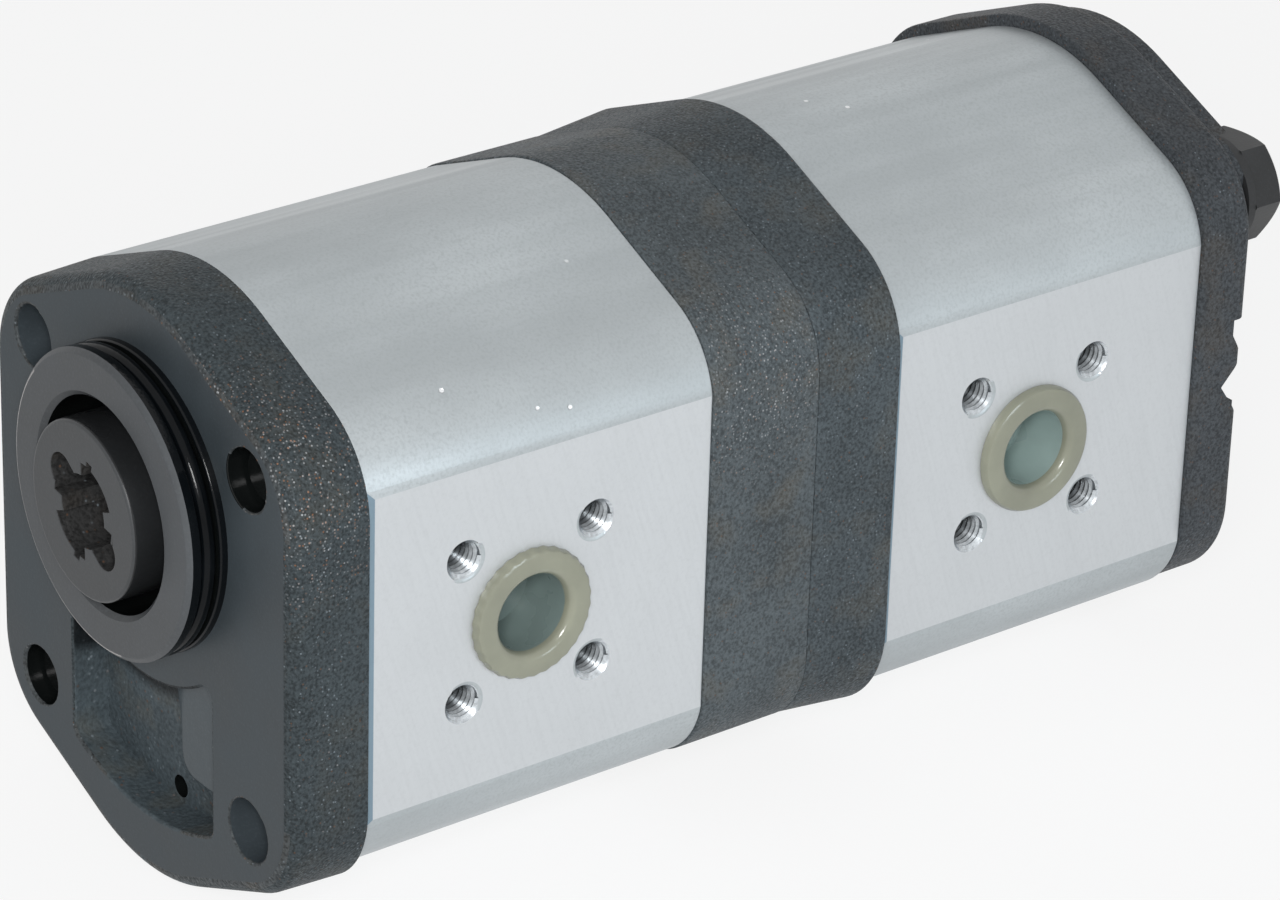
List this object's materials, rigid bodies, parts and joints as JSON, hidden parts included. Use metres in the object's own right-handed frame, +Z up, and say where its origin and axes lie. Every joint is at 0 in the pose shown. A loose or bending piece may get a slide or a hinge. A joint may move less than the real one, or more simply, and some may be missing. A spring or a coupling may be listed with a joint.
{
  "type": "tandem hydraulic gear pump",
  "caption": "Two-stage external gear pump with pilot spigot, dog drive coupling, through mounting holes and plugged square-flange ports on both sides.",
  "frame": {"origin": "drive shaft axis at the mounting face, where the pilot spigot begins", "axes": "+Z up, from the driven shafts to the drive shaft; +Y along the shafts to the rear cover; +X to the pressure ports"},
  "size_m": [0.0874, 0.2114, 0.1046],
  "materials": {
    "cover_casting": "machined grey face on a rough black casting",
    "black_casting": "rough black sand-cast surface",
    "body_aluminium": "satin extruded, milled port faces",
    "block_aluminium": "machined",
    "bush_bronze": "bronze lined, plain",
    "ground_steel": "case hardened and ground",
    "black_steel": "blackened steel",
    "black_rubber": "glossy moulded",
    "white_plastic": "plain",
    "cap_plastic": "translucent yellow-grey"
  },
  "bodies": {
    "housing": {"front_cover": "cover_casting", "pilot_o_ring": "black_rubber", "shaft_seal": "black_rubber", "seal_retaining_ring": "black_steel", "front_body": "body_aluminium", "front_fore_block": "block_aluminium", "front_aft_block": "block_aluminium", "front_bushes": "bush_bronze", "front_axial_seals": "black_rubber", "front_backup_rings": "white_plastic", "front_section_seals": "black_rubber", "centre_housing_front": "black_casting", "centre_housing_rear": "black_casting", "rear_body": "body_aluminium", "rear_fore_block": "block_aluminium", "rear_aft_block": "block_aluminium", "rear_bushes": "bush_bronze", "rear_axial_seals": "black_rubber", "rear_backup_rings": "white_plastic", "rear_section_seals": "black_rubber", "rear_cover": "black_casting", "tie_bolts": "black_steel", "tie_bolt_washers": "black_steel", "dowel_pins": "ground_steel"},
    "drive_line": {"drive_shaft_gear": "ground_steel", "drive_coupling": "black_steel", "stage_coupling": "ground_steel", "rear_drive_gear": "ground_steel"},
    "front_driven": {"front_driven_gear": "ground_steel"},
    "rear_driven": {"rear_driven_gear": "ground_steel"},
    "front_pressure_plug": {"front_pressure_cap": "cap_plastic"},
    "front_suction_plug": {"front_suction_cap": "cap_plastic"},
    "rear_pressure_plug": {"rear_pressure_cap": "cap_plastic"},
    "rear_suction_plug": {"rear_suction_cap": "cap_plastic"}
  },
  "joints": [
    {"name": "drive_spin", "type": "hinge", "parent": "housing", "child": "drive_line", "pos_m": [0, 0.04, 0], "axis": [0, 1, 0], "continuous": true},
    {"name": "front_driven_spin", "type": "hinge", "parent": "housing", "child": "front_driven", "pos_m": [0, 0.046, -0.03], "axis": [0, 1, 0], "continuous": true},
    {"name": "rear_driven_spin", "type": "hinge", "parent": "housing", "child": "rear_driven", "pos_m": [0, 0.148, -0.03], "axis": [0, 1, 0], "continuous": true},
    {"name": "front_pressure_cap_pull", "type": "slide", "parent": "housing", "child": "front_pressure_plug", "axis": [1, 0, 0], "range_m": [0, 0.04]},
    {"name": "front_suction_cap_pull", "type": "slide", "parent": "housing", "child": "front_suction_plug", "axis": [-1, 0, 0], "range_m": [0, 0.04]},
    {"name": "rear_pressure_cap_pull", "type": "slide", "parent": "housing", "child": "rear_pressure_plug", "axis": [1, 0, 0], "range_m": [0, 0.04]},
    {"name": "rear_suction_cap_pull", "type": "slide", "parent": "housing", "child": "rear_suction_plug", "axis": [-1, 0, 0], "range_m": [0, 0.04]}
  ],
  "couplings": [
    {"joint": "front_driven_spin", "follows": "drive_spin", "ratio": -1},
    {"joint": "rear_driven_spin", "follows": "drive_spin", "ratio": -1}
  ]
}
